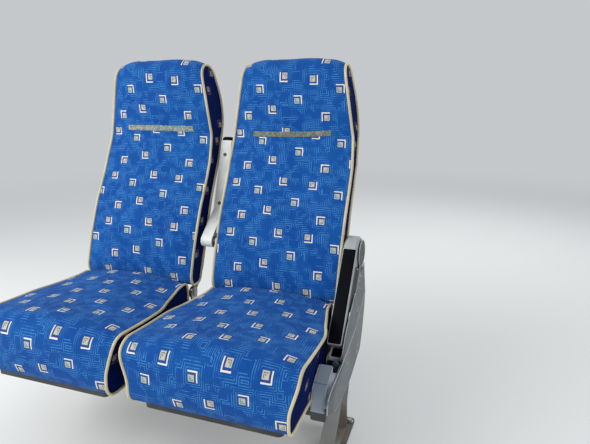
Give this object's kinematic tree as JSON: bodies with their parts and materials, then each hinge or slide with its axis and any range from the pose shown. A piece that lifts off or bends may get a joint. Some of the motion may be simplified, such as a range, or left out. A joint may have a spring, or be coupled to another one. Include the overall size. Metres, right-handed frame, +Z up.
{
  "type": "double reclining coach seat",
  "caption": "Two-place reclining coach seat with piped moquette cushions, folding armrests, rear pockets and hanging footrests on an aisle leg and wall brackets.",
  "frame": {"origin": "on the floor at the centre of the aisle leg's four bolts", "axes": "+X towards the aisle, +Y towards the rear of the seat, +Z up; passengers face -Y"},
  "size_m": [0.98, 0.7458, 1.1],
  "materials": {
    "moquette": "woven loop-pile moquette with piped edges",
    "loop_tape": "hook-and-loop tape",
    "rear_vinyl": "matt grained vinyl",
    "shell_grey": "matt light grey, fine grain",
    "panel_grey": "matt mid grey, scuffed",
    "pad_black": "soft black skin foam",
    "tray_black": "matt black",
    "frame_paint": "black powder coat",
    "leg_paint": "light grey powder coat",
    "steel": "zinc plated"
  },
  "bodies": {
    "underframe": {"front_tube": "frame_paint", "rear_tube": "frame_paint", "aisle_rail": "frame_paint", "window_rail": "frame_paint", "wall_bracket_front": "frame_paint", "wall_bracket_rear": "frame_paint", "aisle_leg": "leg_paint", "leg_foot": "frame_paint", "aisle_side_plate": "steel", "aisle_panel": "panel_grey", "panel_cap": "tray_black", "console_nose": "panel_grey", "console_tray": "tray_black", "console_socket": "shell_grey", "cushion_pan_window": "tray_black", "cushion_window": "moquette", "hinge_plates_window": "frame_paint", "footrest_lugs_window": "frame_paint", "cushion_pan_aisle": "tray_black", "cushion_aisle": "moquette", "hinge_plates_aisle": "frame_paint", "footrest_lugs_aisle": "frame_paint"},
    "backrest_window": {"back_pad_window": "moquette", "back_arms_window": "frame_paint", "back_tube_window": "steel", "back_cover_window": "rear_vinyl", "head_roll_window": "rear_vinyl", "pocket_window": "rear_vinyl", "head_strip_window": "loop_tape"},
    "footrest_window": {"footrest_arms_window": "steel", "footrest_bar_window": "steel"},
    "backrest_aisle": {"back_pad_aisle": "moquette", "back_arms_aisle": "frame_paint", "back_tube_aisle": "steel", "back_cover_aisle": "rear_vinyl", "head_roll_aisle": "rear_vinyl", "pocket_aisle": "rear_vinyl", "head_strip_aisle": "loop_tape", "centre_arm_bracket": "steel"},
    "footrest_aisle": {"footrest_arms_aisle": "steel", "footrest_bar_aisle": "steel"},
    "centre_armrest": {"centre_arm_shell": "shell_grey", "centre_arm_pad": "pad_black"},
    "aisle_armrest": {"aisle_arm_shell": "shell_grey", "aisle_arm_pad": "pad_black"}
  },
  "joints": [
    {"name": "recline_window", "type": "hinge", "parent": "underframe", "child": "backrest_window", "pos_m": [-0.707, 0.145, 0.36], "axis": [-1, 0, 0], "range_deg": [0, 33]},
    {"name": "footrest_window_swing", "type": "hinge", "parent": "underframe", "child": "footrest_window", "pos_m": [-0.707, 0.12, 0.178], "axis": [1, 0, 0], "range_deg": [-50, 40]},
    {"name": "recline_aisle", "type": "hinge", "parent": "underframe", "child": "backrest_aisle", "pos_m": [-0.227, 0.145, 0.36], "axis": [-1, 0, 0], "range_deg": [0, 33]},
    {"name": "footrest_aisle_swing", "type": "hinge", "parent": "underframe", "child": "footrest_aisle", "pos_m": [-0.227, 0.12, 0.178], "axis": [1, 0, 0], "range_deg": [-50, 40]},
    {"name": "centre_arm_fold", "type": "hinge", "parent": "backrest_aisle", "child": "centre_armrest", "pos_m": [-0.467, 0.173, 0.534], "axis": [1, 0, 0], "range_deg": [0, 108]},
    {"name": "aisle_arm_fold", "type": "hinge", "parent": "underframe", "child": "aisle_armrest", "pos_m": [0, 0.196, 0.535], "axis": [-1, 0, 0], "range_deg": [0, 53]}
  ]
}
